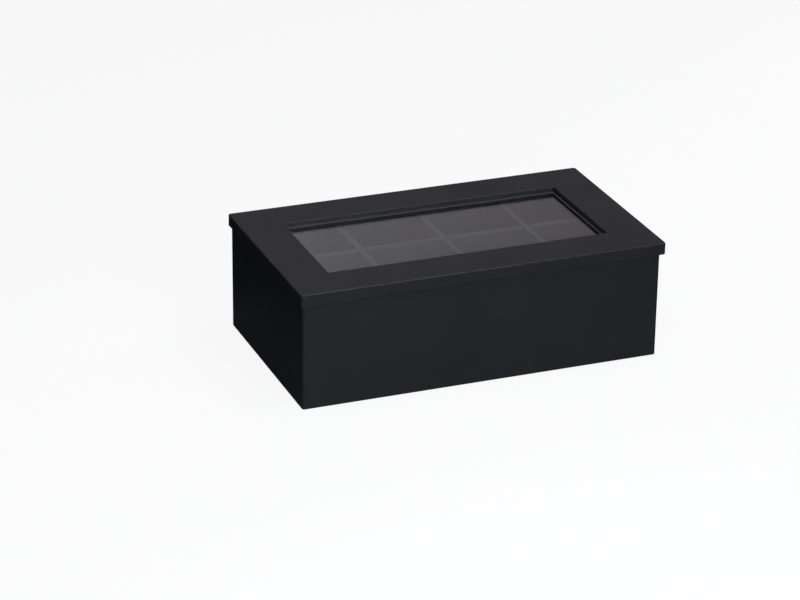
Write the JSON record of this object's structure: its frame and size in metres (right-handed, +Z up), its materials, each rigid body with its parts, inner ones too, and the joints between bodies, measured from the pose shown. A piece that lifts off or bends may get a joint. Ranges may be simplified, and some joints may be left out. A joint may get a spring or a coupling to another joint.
{
  "type": "tea bag organizer box",
  "caption": "Black lacquered wooden box with a grid of open compartments for enveloped tea bags, under a hinged lid with a glass window.",
  "frame": {"origin": "the centre of the box's flat underside", "axes": "+X along the length to the right as seen from the front, +Y to the hinged back, +Z up"},
  "size_m": [0.28, 0.1629, 0.09],
  "materials": {
    "black_lacquer": "smooth black satin lacquer over wood",
    "inside_lacquer": "black satin lacquer over wood",
    "hinge_steel": "nickel-plated sheet steel",
    "screw_steel": "nickel-plated screws with a cross recess",
    "window_glass": "clear flat glass, polished",
    "clear_sealant": "clear glossy sealant"
  },
  "bodies": {
    "box": {"front_panel": "black_lacquer", "back_panel": "black_lacquer", "left_side": "black_lacquer", "right_side": "black_lacquer", "bottom_panel": "inside_lacquer", "long_divider": "inside_lacquer", "cross_divider_left": "inside_lacquer", "cross_divider_middle": "inside_lacquer", "cross_divider_right": "inside_lacquer", "left_hinge_box_leaf": "hinge_steel", "right_hinge_box_leaf": "hinge_steel", "left_hinge_pin": "hinge_steel", "right_hinge_pin": "hinge_steel", "box_hinge_screws": "screw_steel"},
    "lid": {"lid_front_rail": "black_lacquer", "lid_back_rail": "black_lacquer", "lid_left_stile": "black_lacquer", "lid_right_stile": "black_lacquer", "window_pane": "window_glass", "pane_seal": "clear_sealant", "glazing_bead_front": "inside_lacquer", "glazing_bead_right": "inside_lacquer", "glazing_bead_back": "inside_lacquer", "glazing_bead_left": "inside_lacquer", "left_hinge_lid_leaf": "hinge_steel", "right_hinge_lid_leaf": "hinge_steel", "lid_hinge_screws": "screw_steel"}
  },
  "joints": [
    {"name": "lid_hinge", "type": "hinge", "parent": "box", "child": "lid", "pos_m": [0, 0.078, 0.081], "axis": [-1, 0, 0], "range_deg": [0, 105]}
  ]
}
